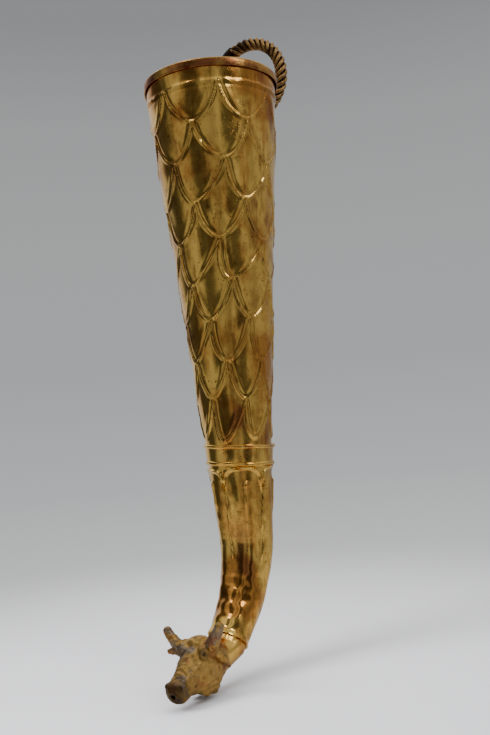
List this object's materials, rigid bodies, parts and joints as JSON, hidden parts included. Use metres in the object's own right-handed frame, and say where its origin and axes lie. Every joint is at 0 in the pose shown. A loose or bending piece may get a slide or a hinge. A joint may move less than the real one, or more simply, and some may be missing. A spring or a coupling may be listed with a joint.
{
  "type": "animal-head horn",
  "caption": "Sheet-brass horn with a beaten conical body, a bent neck ending in a cast bull's head with a spout hole, and a twisted hanging ring at the rim.",
  "frame": {"origin": "centre of the mouth in the plane of the rolled lip", "axes": "+Z out of the mouth along the cone's axis, -Y the way the bull's head looks, +Y the side of the ring"},
  "size_m": [0.094, 0.153, 0.4533],
  "materials": {
    "gilt_sheet": "beaten and gilt, polished with fine brown pitting",
    "rim_brass": "rolled strip with reddish tarnish and a bright edge",
    "cast_brass": "matte cast skin with grey-brown patches",
    "ring_brass": "worn twisted wire, dark in the lays",
    "lug_brass": "satin with dull tarnish",
    "blackened_ferrule": "blackened sheet"
  },
  "bodies": {
    "horn": {"cone_seam_strip": "gilt_sheet", "head_casting": "cast_brass", "horn_cone": "gilt_sheet", "left_ear": "cast_brass", "left_horn": "cast_brass", "lug_eye": "lug_brass", "lug_plate": "lug_brass", "lug_rivets": "lug_brass", "neck_tube": "gilt_sheet", "right_ear": "cast_brass", "right_horn": "cast_brass", "rim_band": "rim_brass", "rim_wire": "rim_brass", "rivet_roves": "lug_brass", "waist_collar": "gilt_sheet"},
    "ring": {"ring_core": "ring_brass", "ring_ferrule": "blackened_ferrule", "ring_strand_1": "ring_brass", "ring_strand_2": "ring_brass", "ring_strand_3": "ring_brass", "ring_strand_4": "ring_brass"}
  },
  "joints": [
    {"name": "ring_swing", "type": "hinge", "parent": "horn", "child": "ring", "pos_m": [0, 0.05352, -0.0095], "axis": [-1, 0, 0], "range_deg": [-25, 175]}
  ]
}
